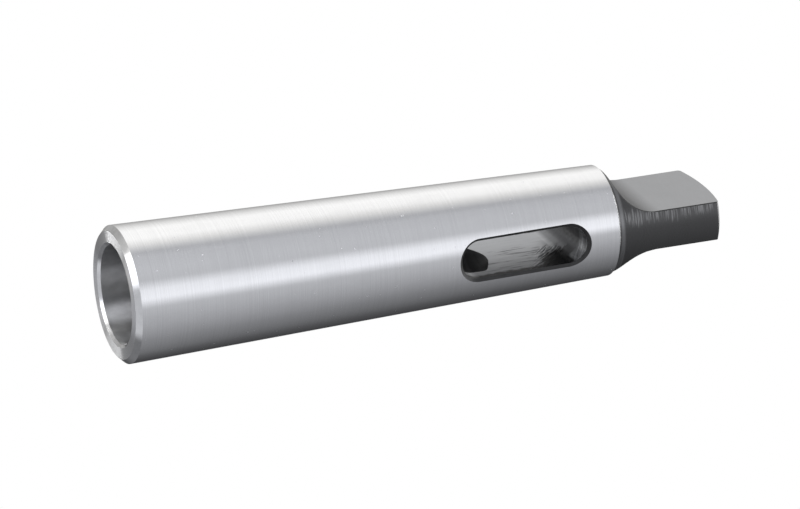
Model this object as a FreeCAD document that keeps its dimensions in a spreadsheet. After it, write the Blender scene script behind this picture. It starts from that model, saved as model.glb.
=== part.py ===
import FreeCAD, Part
import math
import os
import Sketcher

# Taper sleeve: one turned, ground and milled piece of steel, standing on its mouth face.
# The axis is +Z, the mouth face is z = 0, the drift slot runs through along Y and the
# flats of the tang face +X and -X. All sizes are in millimetres and degrees.

DRIVING_SIZES = [
    # Outside taper, ground, from the mouth to the shoulder
    ("gauge_diameter", 23.825, "diameter of the outside taper at its gauge line"),
    ("gauge_height", 18.0, "gauge line above the mouth face"),
    ("outside_ratio", 19.922, "length over which the outside taper loses 1 mm of diameter"),
    ("mouth_chamfer", 0.95, "chamfer round the outside of the mouth"),
    ("shoulder_break", 0.15, "broken edge round the small end of the taper"),
    # Socket, bored and ground, with its clearance bore and drill point
    ("socket_diameter", 17.78, "diameter of the socket at the mouth face"),
    ("socket_ratio", 20.02, "length over which the socket loses 1 mm of diameter"),
    ("socket_length", 57.7, "depth of the tapered seat"),
    ("socket_chamfer", 0.5, "chamfer round the inside of the mouth"),
    ("drill_angle", 118.0, "point angle at the end of the bore, in degrees"),
    ("bore_corner", 1.5, "rounding where the bore runs into its drill point"),
    # Drift slot, milled through both walls
    ("slot_gap", 3.85, "from the end of the tapered seat to the start of the slot"),
    ("slot_length", 24.2, "length of the slot, wall to wall"),
    ("slot_width", 7.1, "width of the slot, wall to wall"),
    ("slot_break", 0.6, "broken edge round the mouths of the slot"),
    ("bore_run_in", 6.1, "how far the bore runs on past the start of the slot"),
    ("end_wall", 6.25, "from the end of the slot to the shoulder"),
    # Tang, turned smaller than the taper and milled flat on both sides
    ("shoulder_step", 0.5, "step in radius from the taper down to the tang"),
    ("tang_length", 20.5, "from the shoulder to the crown of the end"),
    ("tang_thickness", 7.3, "thickness across the two flats"),
    ("cutter_radius", 7.0, "radius of the cutter that leaves the run-out of each flat"),
    ("cutter_clearance", 0.45, "from the shoulder to the nearest reach of the cutter"),
    ("crown_rise", 0.95, "rise of the domed end above its rim"),
    ("rim_break", 0.35, "broken edge round the domed end"),
    ("flat_break", 0.15, "broken edge between each flat and the round of the tang"),
]

WORKED_OUT_SIZES = [
    ("slot_start", "socket_length + slot_gap"),
    ("slot_end", "slot_start + slot_length"),
    ("shoulder_height", "slot_end + end_wall"),
    ("overall_length", "shoulder_height + tang_length"),
    ("mouth_radius", "(gauge_diameter + gauge_height / outside_ratio) / 2"),
    ("mouth_face_radius", "mouth_radius - mouth_chamfer"),
    ("chamfer_top_radius", "mouth_radius - mouth_chamfer / outside_ratio / 2"),
    ("small_end_radius", "mouth_radius - shoulder_height / outside_ratio / 2"),
    ("shoulder_face_radius", "small_end_radius - shoulder_break"),
    ("break_height", "shoulder_height - shoulder_break"),
    ("break_radius", "mouth_radius - break_height / outside_ratio / 2"),
    ("tang_radius", "small_end_radius - shoulder_step"),
    ("neck_fillet", "shoulder_face_radius - tang_radius"),
    ("neck_height", "shoulder_height + neck_fillet"),
    ("rim_radius", "tang_radius - rim_break"),
    ("rim_height", "overall_length - crown_rise"),
    ("rim_break_height", "rim_height - rim_break"),
    ("crown_radius", "(rim_radius ^ 2 + crown_rise ^ 2) / (2 * crown_rise)"),
    ("crown_centre", "overall_length - crown_radius"),
    ("socket_lip_radius", "socket_diameter / 2 + socket_chamfer"),
    ("socket_top_radius", "(socket_diameter - socket_chamfer / socket_ratio) / 2"),
    ("clearance_radius", "(socket_diameter - socket_length / socket_ratio) / 2"),
    ("bore_depth", "slot_start + bore_run_in"),
    ("point_height", "bore_depth + clearance_radius / tan(drill_angle * 1 deg / 2)"),
    ("corner_reach", "bore_corner * tan(drill_angle * 1 deg / 4)"),
    ("corner_low", "bore_depth - corner_reach"),
    ("corner_high", "bore_depth + corner_reach * cos(drill_angle * 1 deg / 2)"),
    ("corner_radius", "clearance_radius - corner_reach * sin(drill_angle * 1 deg / 2)"),
    ("corner_centre", "clearance_radius - bore_corner"),
    ("slot_half", "slot_width / 2"),
    ("slot_low", "slot_start + slot_half"),
    ("slot_high", "slot_end - slot_half"),
    ("flat_distance", "tang_thickness / 2"),
    ("cutter_low", "shoulder_height + cutter_clearance"),
    ("cutter_centre", "cutter_low + cutter_radius"),
    ("cutter_side", "flat_distance + cutter_radius"),
    ("clear_side", "cutter_side + mouth_radius"),
    ("clear_end", "overall_length + mouth_radius"),
]

FULL_TURN = 360
ON_AXIS = 0
ARC_CENTRE = 3
SAMPLES = 7
TOUCH = 1e-4

doc = FreeCAD.newDocument("taper_sleeve")


def make_sheet(name):
    """The table of sizes: column A says what each is, column B holds it under its alias."""
    sheet = doc.addObject("Spreadsheet::Sheet", name)
    rows = [(alias, str(value), note) for alias, value, note in DRIVING_SIZES]
    rows += [(alias, "=" + formula, "worked out") for alias, formula in WORKED_OUT_SIZES]
    for number, (alias, content, note) in enumerate(rows, start=1):
        sheet.set("A%d" % number, note)
        sheet.set("B%d" % number, content)
        sheet.setAlias("B%d" % number, alias)
    doc.recompute()
    return sheet


sheet = make_sheet("Sizes")


def size(alias):
    return ON_AXIS if alias is ON_AXIS else float(sheet.get(alias))


def origin_plane(body, role):
    return next(o for o in body.Origin.OriginFeatures if o.Role == role)


def flat_sketch(body, name):
    """A sketch on the plane through the axis: its x is X and its y is Z."""
    sketch = body.newObject("Sketcher::SketchObject", name)
    sketch.AttachmentSupport = [(origin_plane(body, "XZ_Plane"), "")]
    sketch.MapMode = "FlatFace"
    return sketch


def place(alias):
    """The number behind a corner's name: a size, less than zero where a minus comes first."""
    return -size(alias[1:]) if str(alias).startswith("-") else size(alias)


def tie(sketch, kind, geometry, point, alias):
    """Holds one coordinate of a point to a named size, or on the axis of the sketch."""
    axis_line = {"DistanceX": -2, "DistanceY": -1}[kind]
    if alias is ON_AXIS:
        on_line = Sketcher.Constraint("PointOnObject", geometry, point, axis_line)
        sketch.addConstraint(on_line)
        return
    ends = (geometry, point, -1, 1) if alias.startswith("-") else (-1, 1, geometry, point)
    datum = Sketcher.Constraint(kind, *ends, abs(place(alias)))
    number = sketch.addConstraint(datum)
    cell = "%s.%s" % (sheet.Name, alias.lstrip("-"))
    sketch.setExpression("Constraints[%d]" % number, cell)


def arc_between(start, stop, centre):
    """The shorter arc from start to stop, with the numbers of its first and last point."""
    angles = [math.atan2(p.y - centre.y, p.x - centre.x) for p in (start, stop)]
    forward = (angles[1] - angles[0]) % (2 * math.pi) < math.pi + TOUCH
    low, high = angles if forward else reversed(angles)
    circle = Part.Circle(centre, FreeCAD.Vector(0, 0, 1), start.distanceToPoint(centre))
    return Part.ArcOfCircle(circle, low, high), (1, 2) if forward else (2, 1)


def outline(sketch, corners, arcs=None):
    """Closes a profile through corners, each a pair of named sizes: across, then up.

    arcs gives, for the number of a corner, the centre of the arc that starts there."""
    arcs = arcs or {}
    points = [FreeCAD.Vector(place(across), place(up), 0) for across, up in corners]
    sides = []
    for number, start in enumerate(points):
        stop = points[(number + 1) % len(points)]
        if number in arcs:
            across, up = arcs[number]
            centre = FreeCAD.Vector(place(across), place(up), 0)
            arc, (first, last) = arc_between(start, stop, centre)
            geometry = sketch.addGeometry(arc, False)
            tie(sketch, "DistanceY", geometry, ARC_CENTRE, up)
        else:
            first, last = 1, 2
            geometry = sketch.addGeometry(Part.LineSegment(start, stop), False)
        sides.append((geometry, first, last))
    for number, (across, up) in enumerate(corners):
        geometry, first, _ = sides[number]
        before, _, last = sides[number - 1]
        joined = Sketcher.Constraint("Coincident", before, last, geometry, first)
        sketch.addConstraint(joined)
        tie(sketch, "DistanceX", geometry, first, across)
        tie(sketch, "DistanceY", geometry, first, up)
    return sketch


def turned(body, kind, name, sketch):
    """A revolved feature: the profile turned once round the axis."""
    feature = body.newObject(kind, name)
    feature.Profile = sketch
    feature.ReferenceAxis = (sketch, ["V_Axis"])
    feature.Angle = FULL_TURN
    doc.recompute()
    return feature


def milled(body, name, sketch):
    """A pocket that cuts right through, both ways from the plane of its sketch."""
    feature = body.newObject("PartDesign::Pocket", name)
    feature.Profile = sketch
    feature.SideType = "Symmetric"
    feature.Type = "ThroughAll"
    doc.recompute()
    return feature


def broken_edges(body, name, base, alias, wanted):
    """A chamfer of a named size on every edge of base whose points all pass the test."""
    names = []
    for number, edge in enumerate(base.Shape.Edges, start=1):
        if not edge.Degenerated and all(wanted(p) for p in edge.discretize(SAMPLES)):
            names.append("Edge%d" % number)
    feature = body.newObject("PartDesign::Chamfer", name)
    feature.Base = (base, names)
    feature.setExpression("Size", "%s.%s" % (sheet.Name, alias))
    doc.recompute()
    return feature


def on_taper(point):
    """True on the edges that the slot leaves in the ground taper."""
    radius = size("mouth_radius") - point.z / size("outside_ratio") / 2
    beside = abs(point.y) > size("clearance_radius")
    between = size("slot_start") - TOUCH < point.z < size("slot_end") + TOUCH
    return beside and between and abs(math.hypot(point.x, point.y) - radius) < TOUCH


def on_tang(point):
    """True on the edges that the flats and their run-outs leave in the round of the tang."""
    above = point.z > size("cutter_low") + TOUCH
    below = point.z < size("rim_break_height") + TOUCH
    cut = abs(point.x) > size("flat_distance") - TOUCH
    on_round = abs(math.hypot(point.x, point.y) - size("tang_radius")) < TOUCH
    return above and below and cut and on_round


def build_sleeve():
    """The sleeve as it is made: turned outside, bored, slotted, then flatted at the tang."""
    body = doc.addObject("PartDesign::Body", "Sleeve")
    body.Label = "sleeve"

    bar = outline(
        flat_sketch(body, "OutsideProfile"),
        [
            (ON_AXIS, ON_AXIS),
            ("mouth_face_radius", ON_AXIS),
            ("chamfer_top_radius", "mouth_chamfer"),
            ("break_radius", "break_height"),
            ("shoulder_face_radius", "shoulder_height"),
            ("tang_radius", "neck_height"),
            ("tang_radius", "rim_break_height"),
            ("rim_radius", "rim_height"),
            (ON_AXIS, "overall_length"),
        ],
        {
            4: ("shoulder_face_radius", "neck_height"),
            7: (ON_AXIS, "crown_centre"),
        },
    )
    turned(body, "PartDesign::Revolution", "TurnedOutside", bar)

    bore = outline(
        flat_sketch(body, "SocketProfile"),
        [
            (ON_AXIS, ON_AXIS),
            ("socket_lip_radius", ON_AXIS),
            ("socket_top_radius", "socket_chamfer"),
            ("clearance_radius", "socket_length"),
            ("clearance_radius", "corner_low"),
            ("corner_radius", "corner_high"),
            (ON_AXIS, "point_height"),
        ],
        {4: ("corner_centre", "corner_low")},
    )
    turned(body, "PartDesign::Groove", "BoredSocket", bore)

    slot = outline(
        flat_sketch(body, "SlotProfile"),
        [
            ("slot_half", "slot_low"),
            ("slot_half", "slot_high"),
            ("-slot_half", "slot_high"),
            ("-slot_half", "slot_low"),
        ],
        {1: (ON_AXIS, "slot_high"), 3: (ON_AXIS, "slot_low")},
    )
    slot_cut = milled(body, "DriftSlot", slot)
    broken_edges(body, "SlotEdgeBreak", slot_cut, "slot_break", on_taper)

    flat = outline(
        flat_sketch(body, "FlatProfile"),
        [
            ("flat_distance", "cutter_centre"),
            ("cutter_side", "cutter_low"),
            ("clear_side", "cutter_low"),
            ("clear_side", "clear_end"),
            ("flat_distance", "clear_end"),
        ],
        {0: ("cutter_side", "cutter_centre")},
    )
    flat_cut = milled(body, "TangFlat", flat)
    opposite = body.newObject("PartDesign::Mirrored", "OppositeFlat")
    opposite.Originals = [flat_cut]
    opposite.MirrorPlane = (origin_plane(body, "YZ_Plane"), [""])
    body.Tip = opposite
    doc.recompute()
    body.Tip = broken_edges(body, "TangEdgeBreak", opposite, "flat_break", on_tang)
    doc.recompute()
    return body


def check(bodies):
    """Stops with a plain message if a feature failed, cut nothing or left a broken solid."""
    failed = [o.Name for o in doc.Objects if {"Invalid", "Error"} & set(o.State)]
    if failed:
        raise RuntimeError("failed: %s" % ", ".join(failed))
    for body in bodies:
        solid = body.Shape
        if solid.isNull() or not solid.isValid() or len(solid.Solids) != 1:
            raise RuntimeError("%s isn't one sound solid" % body.Label)
        steps = [f for f in body.Group if f.TypeId.startswith("PartDesign::")]
        for before, after in zip(steps, steps[1:]):
            if after.Shape.Volume >= before.Shape.Volume:
                raise RuntimeError("%s cuts nothing" % after.Name)


sleeve = build_sleeve()
check([sleeve])
os.makedirs("parts", exist_ok=True)
sleeve.Shape.exportStep("parts/%s.step" % sleeve.Label)
print("%s: %.1f mm3" % (sleeve.Label, sleeve.Shape.Volume))
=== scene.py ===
import math
import bmesh
import bpy
import numpy as np
from mathutils import Matrix, Vector


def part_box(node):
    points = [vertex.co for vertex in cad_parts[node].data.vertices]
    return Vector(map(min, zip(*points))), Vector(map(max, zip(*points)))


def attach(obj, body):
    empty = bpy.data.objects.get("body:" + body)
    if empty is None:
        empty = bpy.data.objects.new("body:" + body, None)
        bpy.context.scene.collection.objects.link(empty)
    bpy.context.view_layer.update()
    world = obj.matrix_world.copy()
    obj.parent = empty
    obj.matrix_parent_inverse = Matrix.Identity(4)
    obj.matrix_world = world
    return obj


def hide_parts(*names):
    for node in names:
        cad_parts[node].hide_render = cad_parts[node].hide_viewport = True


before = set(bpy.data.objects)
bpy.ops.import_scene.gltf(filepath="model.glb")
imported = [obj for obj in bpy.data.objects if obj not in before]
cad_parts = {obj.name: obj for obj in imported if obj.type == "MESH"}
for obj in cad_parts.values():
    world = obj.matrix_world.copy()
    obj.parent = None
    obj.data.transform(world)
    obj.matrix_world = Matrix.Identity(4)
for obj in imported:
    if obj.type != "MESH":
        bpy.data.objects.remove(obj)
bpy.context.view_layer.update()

MM = 0.001

# The blank: a bar of tool steel, turned outside, then bored and reamed from its mouth, on which
# it stands. It was blackened after milling, and then the taper, the mouth and the socket were
# finished bright. Both tapers get smaller upwards.
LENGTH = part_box("sleeve")[1].z
TANG_LENGTH = 20.5 * MM
SHOULDER = LENGTH - TANG_LENGTH
OUTSIDE_RATIO = 19.922
SOCKET_RATIO = 20.02
GAUGE_DIAMETER = 23.825 * MM
GAUGE_HEIGHT = 18.0 * MM
MOUTH_RADIUS = (GAUGE_DIAMETER + GAUGE_HEIGHT / OUTSIDE_RATIO) / 2
MOUTH_CHAMFER = 0.95 * MM
SHOULDER_BREAK = 0.15 * MM
SHOULDER_STEP = 0.5 * MM
CROWN_RISE = 0.95 * MM
RIM_BREAK = 0.35 * MM
SOCKET_RADIUS = 17.78 * MM / 2
SOCKET_LENGTH = 57.7 * MM
SOCKET_CHAMFER = 0.5 * MM
SLOT_GAP = 3.85 * MM
SLOT_START = SOCKET_LENGTH + SLOT_GAP
BORE_RUN_IN = 6.1 * MM
BORE_DEPTH = SLOT_START + BORE_RUN_IN
BORE_CORNER = 1.5 * MM
HALF_POINT_ANGLE = math.radians(118.0) / 2


def taper_radius(height):
    """Radius of the ground outside taper at a height above the mouth."""
    return MOUTH_RADIUS - height / OUTSIDE_RATIO / 2


def socket_radius(height):
    """Radius of the reamed socket at a height above the mouth."""
    return SOCKET_RADIUS - height / SOCKET_RATIO / 2


shoulder_face_radius = taper_radius(SHOULDER) - SHOULDER_BREAK
tang_radius = taper_radius(SHOULDER) - SHOULDER_STEP
neck_height = SHOULDER + shoulder_face_radius - tang_radius
rim_radius = tang_radius - RIM_BREAK
rim_height = LENGTH - CROWN_RISE
crown_radius = (rim_radius ** 2 + CROWN_RISE ** 2) / (2 * CROWN_RISE)
clearance_radius = socket_radius(SOCKET_LENGTH)
point_height = BORE_DEPTH + clearance_radius / math.tan(HALF_POINT_ANGLE)
corner_reach = BORE_CORNER * math.tan(HALF_POINT_ANGLE / 2)
corner_low = BORE_DEPTH - corner_reach
corner_high = BORE_DEPTH + corner_reach * math.cos(HALF_POINT_ANGLE)
corner_radius = clearance_radius - corner_reach * math.sin(HALF_POINT_ANGLE)

# Each row is a corner of the section: how far out, how far up, the finish of the stretch that
# starts there and, where that stretch is round, the centre of its arc.
SECTION = [
    (0.0, LENGTH, "tang_round", (0.0, LENGTH - crown_radius)),
    (rim_radius, rim_height, "tang_round", None),
    (tang_radius, rim_height - RIM_BREAK, "tang_round", None),
    (tang_radius, neck_height, "tang_round", (shoulder_face_radius, neck_height)),
    (shoulder_face_radius, SHOULDER, "ground_taper", None),
    (taper_radius(SHOULDER - SHOULDER_BREAK), SHOULDER - SHOULDER_BREAK, "ground_taper", None),
    (taper_radius(MOUTH_CHAMFER), MOUTH_CHAMFER, "cut_chamfer", None),
    (MOUTH_RADIUS - MOUTH_CHAMFER, 0.0, "faced_mouth", None),
    (SOCKET_RADIUS + SOCKET_CHAMFER, 0.0, "cut_chamfer", None),
    (socket_radius(SOCKET_CHAMFER), SOCKET_CHAMFER, "reamed_socket", None),
    (clearance_radius, SOCKET_LENGTH, "drilled_bore", None),
    (clearance_radius, corner_low, "drilled_bore", (clearance_radius - BORE_CORNER, corner_low)),
    (corner_radius, corner_high, "drilled_bore", None),
    (0.0, point_height, None, None),
]
RING_SPACING = 3.0 * MM
ARC_STEPS = 8


def stretch_points(start, stop, centre):
    """Points from one corner of the section up to the next, without the last."""
    a, b = Vector(start), Vector(stop)
    if centre is None:
        steps = max(1, math.ceil((b - a).length / RING_SPACING))
        return [a.lerp(b, step / steps) for step in range(steps)]
    c = Vector(centre)
    turn = (a - c).angle_signed(b - c)
    return [c + Matrix.Rotation(-turn * step / ARC_STEPS, 2) @ (a - c) for step in range(ARC_STEPS)]


# The section is swept round a circle of this radius, so its points are first moved in by as much.
TURNING_RADIUS = 0.05
section_points = []
for row, following in zip(SECTION, SECTION[1:]):
    section_points += stretch_points(row[:2], following[:2], row[3])
section_points.append(Vector(SECTION[-1][:2]))
section_edges = [(number, number + 1) for number in range(len(section_points) - 1)]
section_mesh = bpy.data.meshes.new("sleeve_section")
section_mesh.from_pydata(
    [(out - TURNING_RADIUS, -up, 0.0) for out, up in section_points], section_edges, []
)
sleeve = bpy.data.objects.new("taper_sleeve", section_mesh)
bpy.context.scene.collection.objects.link(sleeve)


def add(tree, kind, inputs=None, **settings):
    """A new node, with its settings and with each input set or linked."""
    made = tree.nodes.new(kind)
    for name, value in settings.items():
        setattr(made, name, value)
    for key, value in (inputs or {}).items():
        if isinstance(value, bpy.types.NodeSocket):
            tree.links.new(value, made.inputs[key])
        else:
            made.inputs[key].default_value = value
    return made


def noise(tree, lumps, detail=2.0, roughness=0.5):
    """Noise with so many lumps in a metre along X, Y and Z."""
    place = add(tree, "ShaderNodeTexCoord").outputs["Object"]
    stretched = add(tree, "ShaderNodeVectorMath", {0: place, 1: lumps}, operation="MULTIPLY")
    return noise_over(tree, stretched.outputs[0], detail, roughness)


def noise_over(tree, vector, detail, roughness):
    """Noise of about unit size over a vector."""
    inputs = {"Vector": vector, "Scale": 1.0, "Detail": detail, "Roughness": roughness}
    return add(tree, "ShaderNodeTexNoise", inputs).outputs["Fac"]


def ranged(tree, value, span, new_span=(0.0, 1.0)):
    """A value moved from one span to another, and held inside it."""
    inputs = {0: value, 1: span[0], 2: span[1], 3: new_span[0], 4: new_span[1]}
    return add(tree, "ShaderNodeMapRange", inputs).outputs[0]


def falling(tree, value, span):
    """1 before a span of a value, and 0 after it."""
    return ranged(tree, value, span, (1.0, 0.0))


NOISE_SPAN = (0.3, 0.7)


def varied(tree, pattern, span):
    """A value that wanders over a span as the noise does."""
    return ranged(tree, pattern, NOISE_SPAN, span)


def either_way(reach):
    """The span that reaches as far below nought as above it."""
    return (-reach, reach)


def shifted(height, span):
    """A span measured from a height."""
    return (height + span[0], height + span[1])


def mixed(tree, factor, first, second):
    """One colour turning into another."""
    return add(tree, "ShaderNodeMixRGB", {0: factor, 1: first, 2: second}).outputs[0]


def worked(tree, operation, first, *others):
    """A sum worked out over two or more values, from the left."""
    result = first
    for other in others:
        result = add(tree, "ShaderNodeMath", {0: result, 1: other}, operation=operation).outputs[0]
    return result


def parts_of_place(tree):
    """Object coordinates as three values."""
    place = add(tree, "ShaderNodeTexCoord").outputs["Object"]
    return add(tree, "ShaderNodeSeparateXYZ", {0: place}).outputs


STEEL_COOLNESS = 0.3
GREEN_SHARE = 0.02
BLUE_SHARE = 0.06


def grey(level, coolness=STEEL_COOLNESS):
    """A plain steel grey, a little cooler than neutral."""
    green = level * (1.0 + GREEN_SHARE * coolness)
    blue = level * (1.0 + BLUE_SHARE * coolness)
    return (level, green, blue, 1.0)


def greys(tree, pattern, levels, coolness=STEEL_COOLNESS):
    """A grey that wanders between two levels as the noise does."""
    factor = varied(tree, pattern, (0.0, 1.0))
    return mixed(tree, factor, grey(levels[0], coolness), grey(levels[1], coolness))


def across_the_lay(tree):
    """Direction across the tool marks, which run round the axis."""
    x, y, _ = parts_of_place(tree)
    round_axis = add(tree, "ShaderNodeCombineXYZ", {0: worked(tree, "MULTIPLY", y, -1.0), 1: x})
    facing = add(tree, "ShaderNodeNewGeometry").outputs["Normal"]
    inputs = {0: facing, 1: round_axis.outputs[0]}
    crossed = add(tree, "ShaderNodeVectorMath", inputs, operation="CROSS_PRODUCT").outputs[0]
    return add(tree, "ShaderNodeVectorMath", {0: crossed}, operation="NORMALIZE").outputs[0]


def finish(name, level, metallic, roughness, spread=0.0, ior=1.5):
    """A new material, with its plain values on the shader's own sockets."""
    material = bpy.data.materials.new(name)
    material.use_nodes = True
    tree = material.node_tree
    shader = tree.nodes["Principled BSDF"]
    shader.inputs["Base Color"].default_value = grey(level)
    shader.inputs["Metallic"].default_value = metallic
    shader.inputs["Roughness"].default_value = roughness
    shader.inputs["IOR"].default_value = ior
    shader.inputs["Anisotropic"].default_value = spread
    if spread:
        tree.links.new(across_the_lay(tree), shader.inputs["Tangent"])
    return material, tree, shader


def show(tree, shader, colour, roughness):
    """Links a finish's colour and roughness."""
    tree.links.new(colour, shader.inputs["Base Color"])
    tree.links.new(roughness, shader.inputs["Roughness"])


def marks(tree, shader, height, depth, strength=1.0):
    """Gives the shader a bump from a height pattern."""
    inputs = {"Height": height, "Distance": depth, "Strength": strength}
    tree.links.new(add(tree, "ShaderNodeBump", inputs).outputs[0], shader.inputs["Normal"])


GRIND_LINES = (30.0, 30.0, 9000.0)
GRIND_DEPTH = 0.002 * MM
GRIND_STRENGTH = 0.5
GROUND_GREYS = (0.70, 0.76)
GROUND_ROUGHNESS = (0.18, 0.22)
STAIN_LUMPS = (260.0, 260.0, 110.0)
STAIN_SPAN = (0.52, 0.75)
STAIN_SHARE = (0.0, 0.5)
STAIN_GREY = 0.66
NICK_LUMPS = (1700.0, 1700.0, 1700.0)
NICK_SPAN = (0.85, 0.87)
NICK_GREY = 0.9
NICK_ROUGHNESS = 0.7


def ground_taper():
    """Cylindrical grinding: fine lines round the axis, faint handling stains and a few nicks."""
    material, tree, shader = finish("ground_taper", level=0.735, metallic=1.0, roughness=0.2, spread=0.9)
    lines = noise(tree, GRIND_LINES, detail=3.0)
    stains = noise(tree, STAIN_LUMPS, detail=4.0)
    nicks = ranged(tree, noise(tree, NICK_LUMPS, detail=0.0), NICK_SPAN)
    stained = ranged(tree, stains, STAIN_SPAN, STAIN_SHARE)
    colour = mixed(tree, stained, greys(tree, lines, GROUND_GREYS), grey(STAIN_GREY))
    dulled = varied(tree, stains, GROUND_ROUGHNESS)
    nick_roughness = worked(tree, "MULTIPLY", nicks, NICK_ROUGHNESS)
    roughness = worked(tree, "MAXIMUM", dulled, nick_roughness)
    show(tree, shader, mixed(tree, nicks, colour, grey(NICK_GREY)), roughness)
    marks(tree, shader, lines, GRIND_DEPTH, GRIND_STRENGTH)
    return material


FACING_LUMPS = (4000.0, 4000.0, 4000.0)
FACED_GREYS = (0.63, 0.69)
FACED_ROUGHNESS = (0.27, 0.33)


def faced_mouth():
    """Facing in the lathe: close rings round the axis that fan the light out along the radius."""
    material, tree, shader = finish("faced_mouth", level=0.66, metallic=1.0, roughness=0.3, spread=1.0)
    lumps = noise(tree, FACING_LUMPS)
    show(tree, shader, greys(tree, lumps, FACED_GREYS), varied(tree, lumps, FACED_ROUGHNESS))
    return material


CHAMFER_LUMPS = (900.0, 900.0, 900.0)
CHAMFER_GREYS = (0.73, 0.79)
CHAMFER_ROUGHNESS = (0.11, 0.17)


def cut_chamfer():
    """The two chamfers of the mouth: cut with a form tool, nearly a mirror."""
    material, tree, shader = finish("cut_chamfer", level=0.76, metallic=1.0, roughness=0.14, spread=0.5)
    lumps = noise(tree, CHAMFER_LUMPS)
    show(tree, shader, greys(tree, lumps, CHAMFER_GREYS), varied(tree, lumps, CHAMFER_ROUGHNESS))
    return material


OIL_PATCHES = (500.0, 500.0, 300.0)
OIL_SPAN = (0.35, 0.65)
SOCKET_GREYS = (0.44, 0.60)
SOCKET_ROUGHNESS = (0.38, 0.46)


def reamed_socket():
    """A reamed taper: rings from the reamer, with oil left in patches."""
    material, tree, shader = finish("reamed_socket", level=0.52, metallic=1.0, roughness=0.42, spread=1.0)
    patches = noise(tree, OIL_PATCHES, detail=4.0)
    oiled = ranged(tree, patches, OIL_SPAN)
    colour = mixed(tree, oiled, grey(SOCKET_GREYS[0]), grey(SOCKET_GREYS[1]))
    show(tree, shader, colour, varied(tree, patches, SOCKET_ROUGHNESS))
    return material


BORE_RINGS = (60.0, 60.0, 3000.0)
BORE_RING_DEPTH = 0.01 * MM
BORE_GREYS = (0.075, 0.105)


def drilled_bore():
    """The clearance bore and the drill point: blackened, with coarser rings."""
    material, tree, shader = finish("drilled_bore", level=0.09, metallic=0.0, roughness=0.4, spread=0.4)
    rings = noise(tree, BORE_RINGS)
    tree.links.new(greys(tree, rings, BORE_GREYS), shader.inputs["Base Color"])
    marks(tree, shader, rings, BORE_RING_DEPTH)
    return material


# The drift slot: milled through both walls, for the key that knocks a tool out. Its mouths have
# a filed edge, which follows the taper, so the cutter flares along it. The wall is bare steel,
# scratched, and bruised and burred at the tang's end.
SLOT_HALF = 7.1 * MM / 2
SLOT_LENGTH = 24.2 * MM
SLOT_END = SLOT_START + SLOT_LENGTH
SLOT_BREAK = 0.6 * MM
SLOT_ARC_STEPS = 32
SLOT_SIDE_STEPS = 6
SLOT_OVERSHOOT = 6.0
slot_low = SLOT_START + SLOT_HALF
slot_high = SLOT_END - SLOT_HALF


def taper_normal(point):
    """Outward direction of the outside taper at a point on it."""
    flat = Vector((point.x, point.y, 0.0)).normalized()
    rise = Vector((0.0, 0.0, 1 / OUTSIDE_RATIO / 2))
    return (flat + rise).normalized()


def slot_outline():
    """Pairs of a point on the slot's wall, seen along Y, and the direction into the wall."""
    pairs = []
    for centre, side in ((slot_high, 1), (slot_low, -1)):
        for step in range(SLOT_ARC_STEPS + 1):
            angle = math.pi * step / SLOT_ARC_STEPS
            into = Vector((side * math.cos(angle), 0.0, side * math.sin(angle)))
            pairs.append((into * SLOT_HALF + Vector((0.0, 0.0, centre)), into))
        for step in range(1, SLOT_SIDE_STEPS):
            up = centre + (slot_low + slot_high - 2 * centre) * step / SLOT_SIDE_STEPS
            into = Vector((-side, 0.0, 0.0))
            pairs.append((into * SLOT_HALF + Vector((0.0, 0.0, up)), into))
    return pairs


def lofted(name, rings):
    """A closed cutter through rings of points, filled at both ends."""
    count = len(rings[0])
    last = count * (len(rings) - 1)
    faces = [tuple(range(count)), tuple(range(last + count - 1, last - 1, -1))]
    for ring in range(len(rings) - 1):
        for number in range(count):
            after = (number + 1) % count
            low, high = ring * count, (ring + 1) * count
            faces.append((low + number, high + number, high + after, low + after))
    mesh = bpy.data.meshes.new(name)
    mesh.from_pydata([tuple(point) for ring in rings for point in ring], [], faces)
    working = bmesh.new()
    working.from_mesh(mesh)
    bmesh.ops.recalc_face_normals(working, faces=working.faces)
    working.to_mesh(mesh)
    working.free()
    cutter = bpy.data.objects.new(name, mesh)
    bpy.context.scene.collection.objects.link(cutter)
    return cutter


def slot_rings(side):
    """The cutter's ring under the edge break on one side, and its ring outside the taper."""
    inner, outer = [], []
    for wall, into in slot_outline():
        edge = Vector(wall)
        edge.y = side * math.sqrt(taper_radius(wall.z) ** 2 - wall.x ** 2)
        outward = taper_normal(edge)
        along_taper = (into - into.dot(outward) * outward).normalized()
        down_wall = (into.dot(outward) * into - outward).normalized()
        low, high = edge + SLOT_BREAK * down_wall, edge + SLOT_BREAK * along_taper
        inner.append(low)
        outer.append(low + SLOT_OVERSHOOT * (high - low))
    return inner, outer


front, front_mouth = slot_rings(-1)
back, back_mouth = slot_rings(1)
slot_cutter = lofted("slot_cutter", [front_mouth, front, back, back_mouth])

# Places on the wall: heights are measured from slot_high or SLOT_END, and sides along Y, where
# the mouth that keys go in at is at -Y.
SLOT_COOLNESS = 1.3
SLOT_GREY = 0.35
# The darkest grey of the wall: for the bruise, the mouth bands, the scratches and the painted shade of
# the round end.
SLOT_BLACK_AND_SHADE = 0.014
SLOT_ROUGHNESS = (0.32, 0.42)
SLOT_BUMP = 0.16 * MM
SCRATCH_LINES = (1800.0, 1800.0, 180.0)
SCRATCH_SPAN = (0.56, 0.66)
SCRATCH_SHARE = (0.0, 0.6)
SCRATCH_START = (66.0 * MM, 70.0 * MM)
SCRATCH_SIDE = (3.5 * MM, 2.0 * MM)
SCRATCH_HEIGHT = 0.06
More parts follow.
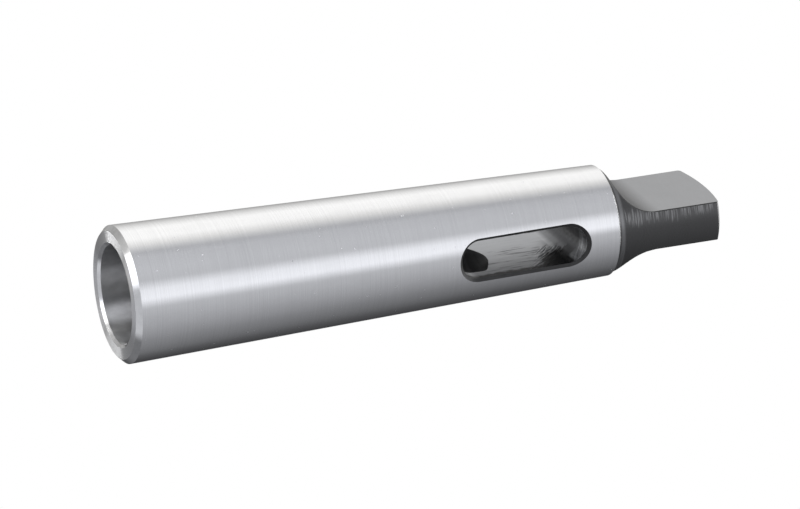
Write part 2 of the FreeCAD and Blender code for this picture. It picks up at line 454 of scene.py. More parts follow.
# Painted shade on the slot's round far end: where it starts and how dark it gets.
END_SHADE_FOOT = (0.4 * MM, 1.3 * MM)
END_SHADE_FOOT_SHARE = (0.0, 0.42)
END_SHADE_TOP = (-1.6 * MM, -0.25 * MM)
END_SHADE_TOP_SHARE = (0.0, 0.56)
END_DULLNESS = 0.15
MOUTH_LUMPS = (900.0, 900.0, 900.0)
MOUTH_WANDER = 0.25 * MM
MOUTH_DEPTH = (-2.0 * MM, -1.3 * MM)
STROKES_ACROSS = 1700.0
STROKES_ALONG = 260.0
TEAR_REACH = 1.0 * MM
BRUISE_SLANT = 0.65
BRUISE_FOOT = (-0.8 * MM, 0.4 * MM)
BRUISE_SIDE = (-1.0 * MM, -2.4 * MM)
BRUISE_TOP = (slot_high + 1.0 * MM, SLOT_END - 1.7 * MM)
BRUISE_TOP_SHARE = (1.0, 0.76)
BITE_FOOT = (-2.2 * MM, -0.6 * MM)
BITE_SIDE = (1.2 * MM, -0.2 * MM)
BITE_FADE = (-2.2 * MM, -4.2 * MM)
BITE_FADE_SHARE = (1.0, 0.25)
BITE_TOP = (0.9 * MM, 1.6 * MM)
BITE_SPAN = (0.52, 0.64)
BITE_SHARE = (-0.1, 0.4)
BURR_HEIGHT = (-2.4 * MM, -1.6 * MM)
BURR_SIDE = (-5.6 * MM, -6.8 * MM)
BURR_BITE = 0.6
BURR_LIGHT = 0.25


def slot_chatter(tree, y, z):
    """Noise in strokes that slant over the wall, as a key's corner strikes it."""
    across = worked(tree, "MULTIPLY", worked(tree, "SUBTRACT", z, y), STROKES_ACROSS)
    along = worked(tree, "MULTIPLY", worked(tree, "ADD", z, y), STROKES_ALONG)
    strokes = add(tree, "ShaderNodeCombineXYZ", {0: across, 1: along})
    return noise_over(tree, strokes.outputs[0], detail=1.0, roughness=0.5)


def slot_bruise(tree, y, z, slanted, torn):
    """The black bruise beside the near mouth, which fades where the slot's end turns away."""
    foot = ranged(tree, slanted, shifted(slot_high, BRUISE_FOOT))
    side = ranged(tree, worked(tree, "ADD", y, torn), BRUISE_SIDE)
    top = ranged(tree, z, BRUISE_TOP, BRUISE_TOP_SHARE)
    return worked(tree, "MULTIPLY", foot, side, top)


def slot_bites(tree, y, z, slanted):
    """Where the strokes bite into the wall, round the bruise."""
    foot = ranged(tree, slanted, shifted(slot_high, BITE_FOOT))
    side = ranged(tree, y, BITE_SIDE)
    fade = ranged(tree, y, BITE_FADE, BITE_FADE_SHARE)
    top = falling(tree, z, shifted(slot_high, BITE_TOP))
    return worked(tree, "MULTIPLY", foot, side, fade, top)


def slot_mouth(tree, z):
    """A darker band inside each mouth, with a ragged border."""
    place = add(tree, "ShaderNodeTexCoord").outputs["Object"]
    flat = add(tree, "ShaderNodeVectorMath", {0: place, 1: (1.0, 1.0, 0.0)}, operation="MULTIPLY")
    out = add(tree, "ShaderNodeVectorMath", {0: flat.outputs[0]}, operation="LENGTH")
    ragged = noise(tree, MOUTH_LUMPS, detail=4.0, roughness=0.6)
    taken_back = worked(tree, "MULTIPLY", z, 1 / OUTSIDE_RATIO / 2)
    wander = varied(tree, ragged, either_way(MOUTH_WANDER))
    lip = worked(tree, "ADD", out.outputs["Value"], taken_back, wander)
    return ranged(tree, lip, shifted(MOUTH_RADIUS, MOUTH_DEPTH))


def slot_wall():
    """The slot's milled wall: grey, scratched along its length, with painted shade over its round far end
    and a darker band inside the mouths.
    """
    material, tree, shader = finish("slot_wall", level=0.4, metallic=1.0, roughness=0.36)
    _, y, z = parts_of_place(tree)
    scratches = noise(tree, SCRATCH_LINES, detail=3.0, roughness=0.6)
    near_half = worked(tree, "MULTIPLY", ranged(tree, z, SCRATCH_START), ranged(tree, y, SCRATCH_SIDE))
    scored = worked(tree, "MULTIPLY", ranged(tree, scratches, SCRATCH_SPAN, SCRATCH_SHARE), near_half)
    # Painted shade: the wall is painted darker over the slot's round far end and up to its top.
    end_shade_foot = ranged(tree, z, shifted(slot_high, END_SHADE_FOOT), END_SHADE_FOOT_SHARE)
    end_shade_top = ranged(tree, z, shifted(SLOT_END, END_SHADE_TOP), END_SHADE_TOP_SHARE)
    painted_end_shade = worked(tree, "ADD", end_shade_foot, end_shade_top)
    chatter = slot_chatter(tree, y, z)
    torn = varied(tree, chatter, either_way(TEAR_REACH))
    slant = worked(tree, "MULTIPLY", y, BRUISE_SLANT)
    slanted = worked(tree, "ADD", worked(tree, "SUBTRACT", z, slant), torn)
    burr_height = ranged(tree, z, shifted(SLOT_END, BURR_HEIGHT))
    burr = worked(tree, "MULTIPLY", burr_height, ranged(tree, y, BURR_SIDE))
    # The bruise, and the darker band inside each mouth.
    darkened = worked(tree, "MAXIMUM", slot_bruise(tree, y, z, slanted, torn), slot_mouth(tree, z))
    unburred = worked(tree, "MULTIPLY", darkened, worked(tree, "SUBTRACT", 1.0, burr))
    bitten = worked(tree, "MULTIPLY", burr, BURR_BITE)
    bitten = worked(tree, "MAXIMUM", slot_bites(tree, y, z, slanted), bitten)
    struck = worked(tree, "MULTIPLY", ranged(tree, chatter, BITE_SPAN, BITE_SHARE), bitten)
    # The darkening holds the bruise, the mouth bands, the scratches and the painted shade of the round
    # end.
    darkness_and_shade = worked(tree, "MAXIMUM", painted_end_shade, unburred, scored)
    darkness_and_shade = worked(tree, "SUBTRACT", darkness_and_shade, struck, worked(tree, "MULTIPLY", burr, BURR_LIGHT))
    colour = mixed(tree, darkness_and_shade, grey(SLOT_GREY, SLOT_COOLNESS), grey(SLOT_BLACK_AND_SHADE, SLOT_COOLNESS))
    dull = worked(tree, "MULTIPLY", painted_end_shade, END_DULLNESS)
    show(tree, shader, colour, worked(tree, "ADD", dull, varied(tree, scratches, SLOT_ROUGHNESS)))
    scratched = worked(tree, "MULTIPLY", scratches, SCRATCH_HEIGHT)
    height = worked(tree, "ADD", scratched, worked(tree, "MULTIPLY", chatter, bitten))
    marks(tree, shader, height, SLOT_BUMP)
    return material


# The tang: two flats, milled from the side with a round cutter that leaves a run-out beside the
# shoulder, and their edges broken by hand with a fine stone. The round is blackened, with worn
# strokes beside the flat at -X painted lighter as a painted glint, and worn bright in a ring at
# the neck. The run-out's foot is painted darker as painted shade.
FLAT_DISTANCE = 7.3 * MM / 2
CUTTER_RADIUS = 7.0 * MM
CUTTER_CLEARANCE = 0.45 * MM
CUTTER_LOW = SHOULDER + CUTTER_CLEARANCE
CUTTER_STEPS = 32
FLAT_BREAK = 0.15 * MM
EDGE_STEPS = 40
CLEAR = 3.0 * MM
cutter_centre = CUTTER_LOW + CUTTER_RADIUS
cutter_side = FLAT_DISTANCE + CUTTER_RADIUS
flat_turn = math.acos(FLAT_DISTANCE / tang_radius)


def milled_normal(point, side):
    """Direction out of the milled surface, on the flat or on its run-out."""
    if point.z >= cutter_centre:
        return Vector((side, 0.0, 0.0))
    centre = Vector((side * cutter_side, 0.0, cutter_centre))
    return (centre - Vector((point.x, 0.0, point.z))).normalized()


def flat_rings(side):
    """The flat's outline, seen along Y, at both ends of the cutter's path."""
    outline = []
    for step in range(CUTTER_STEPS + 1):
        turn = math.pi / 2 * step / CUTTER_STEPS
        across = cutter_side - CUTTER_RADIUS * math.cos(turn)
        outline.append((side * across, cutter_centre - CUTTER_RADIUS * math.sin(turn)))
    far = cutter_side + CLEAR
    outline += [(side * far, CUTTER_LOW), (side * far, LENGTH + CLEAR)]
    outline.append((side * FLAT_DISTANCE, LENGTH + CLEAR))
    path_end = tang_radius + CLEAR
    return [[Vector((x, y, z)) for x, z in outline] for y in (-path_end, path_end)]


def wedge(point, side):
    """Three corners of the wedge that breaks the edge at one point."""
    milled = milled_normal(point, side)
    turned = Vector((point.x, point.y, 0.0)).normalized()
    on_flat = point - FLAT_BREAK * (turned - turned.dot(milled) * milled).normalized()
    on_round = point - FLAT_BREAK * (milled - turned.dot(milled) * turned).normalized()
    spread = on_flat - on_round
    return [on_flat + spread / 2, on_round - spread / 2, point + FLAT_BREAK * (milled + turned)]


def edge_rings(side):
    """Thin wedges along the edge that a flat and its run-out leave on the round."""
    rings = []
    for step in range(-EDGE_STEPS, EDGE_STEPS + 1):
        turn = flat_turn * step / EDGE_STEPS
        across = tang_radius * math.cos(turn)
        drop = max(CUTTER_RADIUS ** 2 - (cutter_side - across) ** 2, 0.0)
        height = cutter_centre - math.sqrt(drop)
        rings.append(wedge(Vector((side * across, tang_radius * math.sin(turn), height)), side))
    edge_side = tang_radius * math.sin(flat_turn)
    for hand, place in ((-1, 0), (1, len(rings))):
        top = Vector((side * FLAT_DISTANCE, hand * edge_side, LENGTH + CLEAR))
        rings.insert(place, wedge(top, side))
    return rings


cutters = [slot_cutter]
for side, name in ((1, "plus"), (-1, "minus")):
    cutters.append(lofted("flat_cutter_" + name, flat_rings(side)))
    cutters.append(lofted("edge_stone_" + name, edge_rings(side)))

TANG_LINES = (250.0, 250.0, 7000.0)
TANG_LINE_DEPTH = 0.0015 * MM
TANG_ROUGHNESS = (0.26, 0.36)
TANG_GREY = 0.01
STROKE_LINES = (200.0, 200.0, 5400.0)
STROKE_SPAN = (0.44, 0.6)
STROKE_GLINT_GREY = 0.14
# Painted glint: the band beside the flat at -X where the worn strokes are painted lighter.
GLINT_EDGE_LINES = (300.0, 300.0, 2500.0)
GLINT_EDGE_WANDER = 0.7 * MM
GLINT_FOOT = (1.8 * MM, 2.8 * MM)
GLINT_TOP = (4.0 * MM, 4.8 * MM)
GLINT_RIM = (-1.2 * MM, -0.6 * MM)
RUB_START = (0.3 * MM, 0.6 * MM)
RUB_STOP = (0.9 * MM, 1.3 * MM)
RUB_GREY = 0.2


def tang_round():
    """Blackened steel, with short worn strokes beside the flat at -X painted lighter as a glint, and a
    rubbed ring at the neck.
    """
    plain = {"level": 0.01, "metallic": 0.0, "roughness": 0.3, "spread": 0.6, "ior": 1.75}
    material, tree, shader = finish("tang_round", **plain)
    x, _, z = parts_of_place(tree)
    lines = noise(tree, TANG_LINES, roughness=0.6)
    strokes = ranged(tree, noise(tree, STROKE_LINES, detail=0.5), STROKE_SPAN)
    ragged = varied(tree, noise(tree, GLINT_EDGE_LINES), either_way(GLINT_EDGE_WANDER))
    # Painted glint: the worn strokes are painted lighter only in a band beside the flat at -X.
    beside = worked(tree, "SUBTRACT", ragged, x)
    foot, top = ranged(tree, beside, GLINT_FOOT), falling(tree, beside, GLINT_TOP)
    below_rim = falling(tree, z, shifted(rim_height, GLINT_RIM))
    worn_and_glinting = worked(tree, "MULTIPLY", foot, top, below_rim, strokes)
    neck = worked(tree, "SUBTRACT", z, SHOULDER)
    rubbed = worked(tree, "MULTIPLY", ranged(tree, neck, RUB_START), falling(tree, neck, RUB_STOP))
    colour = mixed(tree, worn_and_glinting, grey(TANG_GREY), grey(STROKE_GLINT_GREY))
    tree.links.new(rubbed, shader.inputs["Metallic"])
    show(tree, shader, mixed(tree, rubbed, colour, grey(RUB_GREY)), varied(tree, lines, TANG_ROUGHNESS))
    marks(tree, shader, lines, TANG_LINE_DEPTH)
    return material


FLAT_COOLNESS = 1.0
FLAT_LINES = (300.0, 300.0, 1500.0)
FLAT_LINE_DEPTH = 0.003 * MM
FLAT_LINE_STRENGTH = 0.5
FLAT_GREYS = (0.285, 0.315)
FLAT_ROUGHNESS = (0.3, 0.38)
FLAT_STAINS = (220.0, 220.0, 220.0)
FLAT_STAIN_SPAN = (0.4, 0.7)
FLAT_STAIN_SHARE = (0.0, 0.3)
FLAT_STAIN_GREY = 0.27
# Painted shade at the foot of the run-out: where it fades in, and its grey.
FOOT_SHADE_FADE = (-3.0 * MM, 0.9 * MM)
FOOT_SHADE_GREY = 0.11


def milled_flat():
    """The tang's flats: dark steel, with the faint cross marks of the milling cutter, and painted shade
    darkening the run-out towards its foot.
    """
    material, tree, shader = finish("milled_flat", level=0.3, metallic=1.0, roughness=0.34)
    lines = noise(tree, FLAT_LINES, detail=3.0)
    stains = ranged(tree, noise(tree, FLAT_STAINS, detail=3.0), FLAT_STAIN_SPAN, FLAT_STAIN_SHARE)
    milled = greys(tree, lines, FLAT_GREYS, FLAT_COOLNESS)
    stained = mixed(tree, stains, milled, grey(FLAT_STAIN_GREY, FLAT_COOLNESS))
    # Painted shade: darker towards the foot of the run-out, by the shoulder.
    foot = falling(tree, parts_of_place(tree)[2], shifted(cutter_centre, FOOT_SHADE_FADE))
    colour = mixed(tree, foot, stained, grey(FOOT_SHADE_GREY, FLAT_COOLNESS))
    show(tree, shader, colour, varied(tree, lines, FLAT_ROUGHNESS))
    marks(tree, shader, lines, FLAT_LINE_DEPTH, FLAT_LINE_STRENGTH)
    return material


FILE_LINES = (1500.0, 1500.0, 500.0)
FILE_LINE_DEPTH = 0.01 * MM
EDGE_GREYS = (0.008, 0.022)
EDGE_ROUGHNESS = (0.42, 0.6)


def broken_edge():
    """Hand-broken edges, round the slot's mouths and along the tang's flats: blackened."""
    material, tree, shader = finish("broken_edge", level=0.015, metallic=0.0, roughness=0.5)
    lines = noise(tree, FILE_LINES, detail=3.0)
    show(tree, shader, greys(tree, lines, EDGE_GREYS), varied(tree, lines, EDGE_ROUGHNESS))
    marks(tree, shader, lines, FILE_LINE_DEPTH)
    return material


# Turning and cutting. The tree turns the section round the axis, closes the two ends on the
# axis, and takes the cutters away from the blank, as the lathe and the mill do.
SEGMENTS = 180
WELD = 0.0005 * MM
materials = [
    ground_taper(), faced_mouth(), cut_chamfer(), reamed_socket(), drilled_bore(),
    tang_round(), milled_flat(), slot_wall(), broken_edge(),
]
material_number = {material.name: number for number, material in enumerate(materials)}


def turning_inputs(tree, cutters):
    """Adds the tree's inputs, and gives their identifiers by name."""
    kinds = {
        "Section": "NodeSocketGeometry",
        "Segments": "NodeSocketInt",
        "Turning radius": "NodeSocketFloat",
        "Weld distance": "NodeSocketFloat",
        "Steel": "NodeSocketMaterial",
    }
    kinds |= {cutter.name: "NodeSocketObject" for cutter in cutters}
    identifiers = {}
    for name, kind in kinds.items():
        made = tree.interface.new_socket(name, in_out="INPUT", socket_type=kind)
        identifiers[name] = made.identifier
    return identifiers


def turning_tree(cutters):
    """The Geometry Nodes tree, and the identifiers of its inputs by name."""
    tree = bpy.data.node_groups.new("turned_and_milled", "GeometryNodeTree")
    identifiers = turning_inputs(tree, cutters)
    tree.interface.new_socket("Sleeve", in_out="OUTPUT", socket_type="NodeSocketGeometry")
    given = tree.nodes.new("NodeGroupInput").outputs
    path_inputs = {"Resolution": given["Segments"], "Radius": given["Turning radius"]}
    path = add(tree, "GeometryNodeCurvePrimitiveCircle", path_inputs)
    profile = add(tree, "GeometryNodeMeshToCurve", {"Mesh": given["Section"]})
    turned_inputs = {"Curve": path.outputs["Curve"], "Profile Curve": profile.outputs["Curve"]}
    turned = add(tree, "GeometryNodeCurveToMesh", turned_inputs)
    weld_inputs = {"Geometry": turned.outputs["Mesh"], "Distance": given["Weld distance"]}
    blank = add(tree, "GeometryNodeMergeByDistance", weld_inputs)
    outward = add(tree, "GeometryNodeFlipFaces", {"Mesh": blank.outputs["Geometry"]})
    cut_settings = {"operation": "DIFFERENCE", "solver": "EXACT"}
    cut_inputs = {"Mesh 1": outward.outputs["Mesh"]}
    cut = add(tree, "GeometryNodeMeshBoolean", cut_inputs, **cut_settings)
    for cutter in cutters:
        brought = add(tree, "GeometryNodeObjectInfo", {"Object": given[cutter.name]})
        tree.links.new(brought.outputs["Geometry"], cut.inputs["Mesh 2"])
    realized = add(tree, "GeometryNodeRealizeInstances", {"Geometry": cut.outputs["Mesh"]})
    steel_inputs = {"Geometry": realized.outputs["Geometry"], "Material": given["Steel"]}
    finished = add(tree, "GeometryNodeSetMaterial", steel_inputs)
    add(tree, "NodeGroupOutput", {"Sleeve": finished.outputs["Geometry"]})
    return tree, identifiers


tree, identifiers = turning_tree(cutters)
turning = sleeve.modifiers.new("turned_and_milled", "NODES")
turning.node_group = tree
turning[identifiers["Segments"]] = SEGMENTS
turning[identifiers["Turning radius"]] = TURNING_RADIUS
turning[identifiers["Weld distance"]] = WELD
turning[identifiers["Steel"]] = materials[0]
for cutter in cutters:
    turning[identifiers[cutter.name]] = cutter
evaluated = sleeve.evaluated_get(bpy.context.evaluated_depsgraph_get())
cut_mesh = bpy.data.meshes.new_from_object(evaluated)
sleeve.modifiers.remove(turning)
sleeve.data = cut_mesh
for cutter in cutters:
    bpy.data.objects.remove(cutter)
sleeve.data.materials.clear()
for material in materials:
    sleeve.data.materials.append(material)


# The true surfaces. Each face of the cut mesh lies on one surface of the section, the slot
# or the tang, which gives its finish and the exact direction of its shading.
FIT = 0.02 * MM
OFF = 1.0


def section_surface(start, stop, centre):
    """Distance from a stretch of the section, and direction out of it, for an array of points."""
    a, b = np.array(start), np.array(stop)
    along = (b - a) / np.linalg.norm(b - a)
    left = np.array((-along[1], along[0]))

    def distance(points):
        place = np.stack((np.hypot(points[:, 0], points[:, 1]), points[:, 2]), 1)
        if centre is not None:
            return abs(np.linalg.norm(place - centre, axis=1) - np.linalg.norm(a - centre))
        share = np.clip((place - a) @ along, 0.0, np.linalg.norm(b - a))
        return np.linalg.norm(place - a - share[:, None] * along, axis=1)

    def outward(points, middle):
        out = np.hypot(points[:, 0], points[:, 1])
        on_axis = (out < WELD)[:, None]
        flat = np.where(on_axis, middle[:, :2], points[:, :2])
        flat = flat / np.maximum(np.linalg.norm(flat, axis=1), WELD)[:, None]
        facing = np.tile(left, (len(points), 1))
        if centre is not None:
            facing = np.stack((out, points[:, 2]), 1) - centre
            facing = facing / np.linalg.norm(facing, axis=1)[:, None]
            facing = facing * np.sign(facing @ left)[:, None]
        return np.concatenate((flat * facing[:, :1], facing[:, 1:]), 1)

    return distance, outward


def slot_distance(points):
    """Distance from the slot's wall."""
    off_spine = points[:, 2] - np.clip(points[:, 2], slot_low, slot_high)
    away = abs(np.hypot(points[:, 0], off_spine) - SLOT_HALF)
    beside = (points[:, 2] < SLOT_START - FIT) | (points[:, 2] > SLOT_END + FIT)
    return np.where(beside, OFF, away)


def slot_outward(points, middle):
    """Direction out of the slot's wall, towards the middle of the slot."""
    off_spine = points[:, 2] - np.clip(points[:, 2], slot_low, slot_high)
    inward = np.stack((points[:, 0], 0.0 * off_spine, off_spine), 1)
    return -inward / np.linalg.norm(inward, axis=1)[:, None]


def milled_distance(points):
    """Distance from the flats and their run-outs."""
    across = abs(points[:, 0])
    round_part = abs(np.hypot(across - cutter_side, points[:, 2] - cutter_centre) - CUTTER_RADIUS)
    away = np.where(points[:, 2] < cutter_centre, round_part, abs(across - FLAT_DISTANCE))
    return np.where(points[:, 2] < CUTTER_LOW - FIT, OFF, away)


def milled_outward(points, middle):
    """Direction out of the flats and their run-outs."""
    side = np.sign(points[:, 0])
    drop = np.maximum(cutter_centre - points[:, 2], 0.0)
    over = np.where(drop > 0.0, cutter_side - abs(points[:, 0]), CUTTER_RADIUS)
    facing = np.stack((side * over, 0.0 * drop, drop), 1)
    return facing / np.linalg.norm(facing, axis=1)[:, None]


def break_distance(points):
    """The edge breaks: taken where no other surface fits."""
    return np.full(len(points), FIT)


def break_outward(points, middle):
    """Direction out of an edge break: half way between the surfaces that it joins."""
    flat = points * (1.0, 1.0, 0.0)
    turned = flat / np.linalg.norm(flat, axis=1)[:, None]
    on_tang = points[:, 2:] > SHOULDER
    cut = np.where(on_tang, milled_outward(points, middle), slot_outward(points, middle))
    joined = turned + cut
    return joined / np.linalg.norm(joined, axis=1)[:, None]


surfaces = [
    (row[2], *section_surface(row[:2], following[:2], row[3]))
    for row, following in zip(SECTION, SECTION[1:])
]
surfaces.append(("slot_wall", slot_distance, slot_outward))
surfaces.append(("milled_flat", milled_distance, milled_outward))
surfaces.append(("broken_edge", break_distance, break_outward))


def read_values(collection, name, kind, width=1):
    """One attribute of every element of a mesh collection, as an array."""
    values = np.empty(len(collection) * width, kind)
    collection.foreach_get(name, values)
    return values


corner_vertex = read_values(cut_mesh.loops, "vertex_index", np.int32)
face_start = read_values(cut_mesh.polygons, "loop_start", np.int32)
face_size = read_values(cut_mesh.polygons, "loop_total", np.int32)
face_middle = read_values(cut_mesh.polygons, "center", np.float32, 3).reshape(-1, 3)
vertex_place = read_values(cut_mesh.vertices, "co", np.float32, 3).reshape(-1, 3)
corner_middle = np.repeat(face_middle, face_size, axis=0).astype(float)
corner_place = vertex_place[corner_vertex].astype(float)
misfit = [np.maximum.reduceat(away(corner_place), face_start) for _, away, _ in surfaces]
face_surface = np.stack(misfit).argmin(0)
corner_surface = np.repeat(face_surface, face_size)
corner_facing = np.zeros((len(corner_vertex), 3))
for number, (_, _, outward) in enumerate(surfaces):
    chosen = corner_surface == number
    corner_facing[chosen] = outward(corner_place[chosen], corner_middle[chosen])
face_finish = np.array([material_number[name] for name, _, _ in surfaces])[face_surface]
cut_mesh.polygons.foreach_set("material_index", face_finish.astype(np.int32))
cut_mesh.polygons.foreach_set("use_smooth", np.ones(len(cut_mesh.polygons), bool))
cut_mesh.normals_split_custom_set(corner_facing.tolist())

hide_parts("sleeve")
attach(sleeve, "root")


# The studio: a white backdrop, and a plain pale floor that the sleeve stands on. The floor is
# seen only from above, because the picture is taken from below its level.
FLOOR_DROP = 0.05 * MM
FLOOR_RADIUS = 0.46
FLOOR_SIDES = 64
FLOOR_COLOUR = (0.9, 0.9, 0.9, 1.0)
FLOOR_FADE = (0.15, 0.45)
WHITE = (1.0, 1.0, 1.0, 1.0)


def pale_floor():
    """White floor paint that fades into the backdrop, and that nothing sees from below."""
    material = bpy.data.materials.new("pale_floor")
    material.use_nodes = True
    tree = material.node_tree
    tree.nodes.clear()
    place = add(tree, "ShaderNodeTexCoord").outputs["Object"]
    out = add(tree, "ShaderNodeVectorMath", {0: place}, operation="LENGTH").outputs["Value"]
    below = add(tree, "ShaderNodeNewGeometry").outputs["Backfacing"]
    unseen = worked(tree, "MAXIMUM", ranged(tree, out, FLOOR_FADE), below)
    paint = add(tree, "ShaderNodeBsdfDiffuse", {"Color": FLOOR_COLOUR})
    clear = add(tree, "ShaderNodeBsdfTransparent")
    shown_inputs = {0: unseen, 1: paint.outputs[0], 2: clear.outputs[0]}
    shown = add(tree, "ShaderNodeMixShader", shown_inputs)
    add(tree, "ShaderNodeOutputMaterial", {"Surface": shown.outputs[0]})
    return material


def studio_piece(name, mesh, shape, material):
    """A plain object of the studio, from a worked shape and its material."""
    shape.to_mesh(mesh)
    shape.free()
    mesh.materials.append(material)
    made = bpy.data.objects.new(name, mesh)
    bpy.context.scene.collection.objects.link(made)
    return made


floor_mesh = bpy.data.meshes.new("floor")
floor_shape = bmesh.new()
bmesh.ops.create_circle(floor_shape, cap_ends=True, segments=FLOOR_SIDES, radius=FLOOR_RADIUS)
bmesh.ops.translate(floor_shape, verts=floor_shape.verts, vec=(0.0, 0.0, -FLOOR_DROP))
floor = studio_piece("floor", floor_mesh, floor_shape, pale_floor())
floor.visible_diffuse = False
floor.visible_glossy = False
floor.visible_transmission = False
floor.visible_shadow = False

backdrop = bpy.data.worlds.new("white_backdrop")
backdrop.use_nodes = True
backdrop.node_tree.nodes["Background"].inputs["Color"].default_value = WHITE
backdrop.node_tree.nodes["Background"].inputs["Strength"].default_value = 1.0
bpy.context.scene.world = backdrop


# The light tent: cloths all round the sleeve, lit more or less, which the steel shows. The low
# cloths and then the base cloths hang under the side ones, and the near gains brighten the
# side cloths beside the mouth.
TENT_RADIUS = 0.5
TENT_DETAIL = 5
CAMERA_AZIMUTH = math.radians(-22.4)

# Each row is degrees round the axis from the camera towards -X, and how bright it is there.
# The side levels were picked from tones of the photo that another script had printed, which
# report.md names as a fault. The other three tables were worked out.
SIDE_CLOTHS = [
    (-180, 0.20), (-160, 0.05), (-130, 0.10), (-90, 0.25), (-30, 0.60), (-15, 1.20),
    (0, 1.10), (15, 0.65), (55, 0.60), (65, 0.50), (95, 1.20), (120, 1.30),
    (160, 0.45), (180, 0.20),
]
LOW_CLOTHS = [
    (-180, 0.30), (-150, 0.20), (-100, 0.20), (-70, 0.35), (-60, 0.90), (-35, 0.90),
    (-25, 0.10), (15, 0.10), (30, 2.20), (60, 2.20), (70, 0.45), (110, 0.60),
    (130, 0.45), (180, 0.30),
]
BASE_CLOTHS = [
    (-180, 1.00), (-75, 0.60), (5, 0.60), (25, 1.40), (35, 2.00), (90, 2.00),
    (95, 0.75), (120, 0.60), (180, 1.00),
]
NEAR_GAINS = [
    (-150, 1.0), (-120, 2.0), (-50, 1.2), (-20, 1.0), (50, 1.0), (80, 1.4), (110, 1.0),
]
NEAR_HEIGHTS = (0.25 * TENT_RADIUS, 0.12 * TENT_RADIUS)
LOW_HEIGHTS = (-0.05 * TENT_RADIUS, -0.35 * TENT_RADIUS)
BASE_HEIGHTS = (-0.72 * TENT_RADIUS, -0.80 * TENT_RADIUS)
COOL = (0.99, 1.0, 1.045, 1.0)
WARM = (1.01, 1.0, 0.985, 1.0)
COOL_TO_WARM = (64, 80)
FULL_TURN = 360
MIDDLE = 0.5


def share_of_turn(angle):
    """Where an angle lies on a ramp over the full turn, with the camera in its middle."""
    return MIDDLE + angle / FULL_TURN


def cloth_ramp(tree, turn, levels):
    """The levels round the tent as a colour ramp over a full turn."""
    ramp = add(tree, "ShaderNodeValToRGB", {0: turn})
    stops = ramp.color_ramp.elements
    while len(stops) < len(levels):
        stops.new(MIDDLE)
    for stop, (angle, level) in zip(stops, levels):
        stop.position = share_of_turn(angle)
        stop.color = (level, level, level, 1.0)
    return ramp.outputs["Color"]


def multiplied(tree, factor, first, second):
    """A colour multiplied by another, as far as the factor says."""
    inputs = {0: factor, 1: first, 2: second}
    return add(tree, "ShaderNodeMixRGB", inputs, blend_type="MULTIPLY").outputs[0]


def tent_cloth():
    """Lit cloth: the side cloths turn into the low ones below the middle of the tent."""
    material = bpy.data.materials.new("tent_cloth")
    material.use_nodes = True
    tree = material.node_tree
    tree.nodes.clear()
    x, y, z = parts_of_place(tree)
    bearing = worked(tree, "ARCTAN2", x, worked(tree, "MULTIPLY", y, -1.0))
    from_camera = worked(tree, "SUBTRACT", CAMERA_AZIMUTH, bearing)
    wrap_inputs = {0: from_camera, 1: math.pi, 2: -math.pi}
    wrapped = add(tree, "ShaderNodeMath", wrap_inputs, operation="WRAP").outputs[0]
    turn = ranged(tree, wrapped, either_way(math.pi))
    near, low, base = [ranged(tree, z, heights) for heights in (NEAR_HEIGHTS, LOW_HEIGHTS, BASE_HEIGHTS)]
    side, gain = cloth_ramp(tree, turn, SIDE_CLOTHS), cloth_ramp(tree, turn, NEAR_GAINS)
    cloth = mixed(tree, low, multiplied(tree, near, side, gain), cloth_ramp(tree, turn, LOW_CLOTHS))
    cloth = mixed(tree, base, cloth, cloth_ramp(tree, turn, BASE_CLOTHS))
    warmth = ranged(tree, turn, [share_of_turn(angle) for angle in COOL_TO_WARM])
    tinted = multiplied(tree, 1.0, cloth, mixed(tree, warmth, COOL, WARM))
    glow = add(tree, "ShaderNodeEmission", {"Color": tinted, "Strength": 1.0})
    add(tree, "ShaderNodeOutputMaterial", {"Surface": glow.outputs[0]})
    return material


tent_mesh = bpy.data.meshes.new("light_tent")
tent_shape = bmesh.new()
bmesh.ops.create_icosphere(tent_shape, subdivisions=TENT_DETAIL, radius=TENT_RADIUS)
tent = studio_piece("light_tent", tent_mesh, tent_shape, tent_cloth())
tent.location.z = LENGTH / 2
tent.visible_camera = False


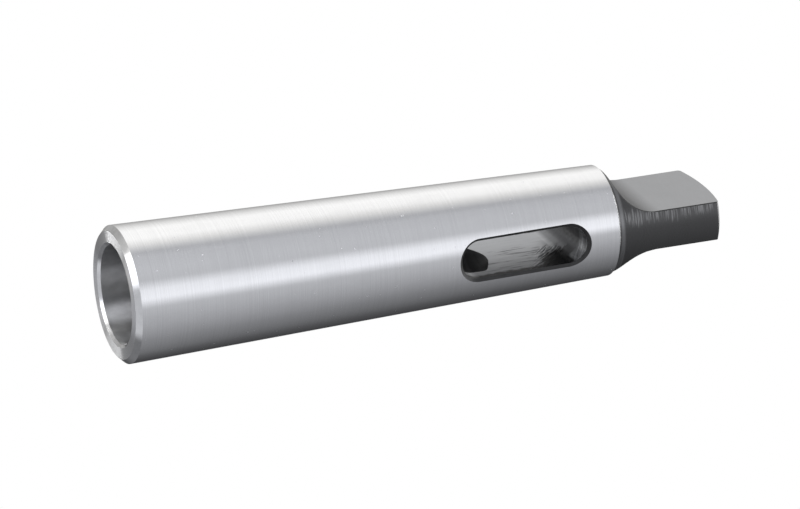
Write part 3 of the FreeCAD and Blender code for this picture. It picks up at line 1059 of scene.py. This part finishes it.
# Two soft lamps in the tent: a round one overhead, and a strip low behind the sleeve that
# draws the two bright wedges on the turned face of the mouth.
TOP_LAMP_PLACE = Vector((0.0, 0.0, 0.45))
TOP_LAMP_ALONG = Vector((1.0, 0.0, 0.0))
TOP_LAMP_SIZE = 0.35
TOP_LAMP_POWER = 1.1
STRIP_PLACE = Vector((-0.055, 0.265, -0.2))
STRIP_ALONG = Vector((0.6, 0.56, 0.58))
STRIP_LENGTH = 0.34
STRIP_WIDTH = 0.018
STRIP_POWER = 0.44


def lamp(name, place, along, power, shape, length, width):
    """An area lamp that faces the mouth's middle."""
    light = bpy.data.lights.new(name, "AREA")
    light.shape = shape
    light.size = length
    light.size_y = width
    light.energy = power
    made = bpy.data.objects.new(name, light)
    bpy.context.scene.collection.objects.link(made)
    away = place.normalized()
    across = (along - along.dot(away) * away).normalized()
    turned = Matrix((across, away.cross(across), away)).transposed().to_4x4()
    made.matrix_world = Matrix.Translation(place) @ turned
    made.visible_camera = False


lamp("top_lamp", TOP_LAMP_PLACE, TOP_LAMP_ALONG, TOP_LAMP_POWER, "DISK", TOP_LAMP_SIZE, TOP_LAMP_SIZE)
lamp("strip_lamp", STRIP_PLACE, STRIP_ALONG, STRIP_POWER, "RECTANGLE", STRIP_LENGTH, STRIP_WIDTH)


# The camera looks up from below the mouth, turned on its side, through a long lens. Its place
# and its direction are those at which the sleeve's outline fits the one in the photo.
CAMERA_PLACE = Vector((-0.44699, -1.08446, -0.35955))
CAMERA_RIGHT = Vector((0.016453, -0.361931, 0.932060))
CAMERA_FORWARD = Vector((0.359884, 0.871853, 0.332199))
LENS = 314.96
SENSOR_WIDTH = 36.0
backward = -CAMERA_FORWARD.normalized()
up = backward.cross(CAMERA_RIGHT.normalized())
camera_turn = Matrix((CAMERA_RIGHT, up, backward)).transposed().to_4x4()
camera = bpy.data.objects.new("camera", bpy.data.cameras.new("camera"))
camera.data.lens = LENS
camera.data.sensor_width = SENSOR_WIDTH
camera.matrix_world = Matrix.Translation(CAMERA_PLACE) @ camera_turn
bpy.context.scene.collection.objects.link(camera)
bpy.context.scene.camera = camera
bpy.context.scene.view_settings.view_transform = "Standard"
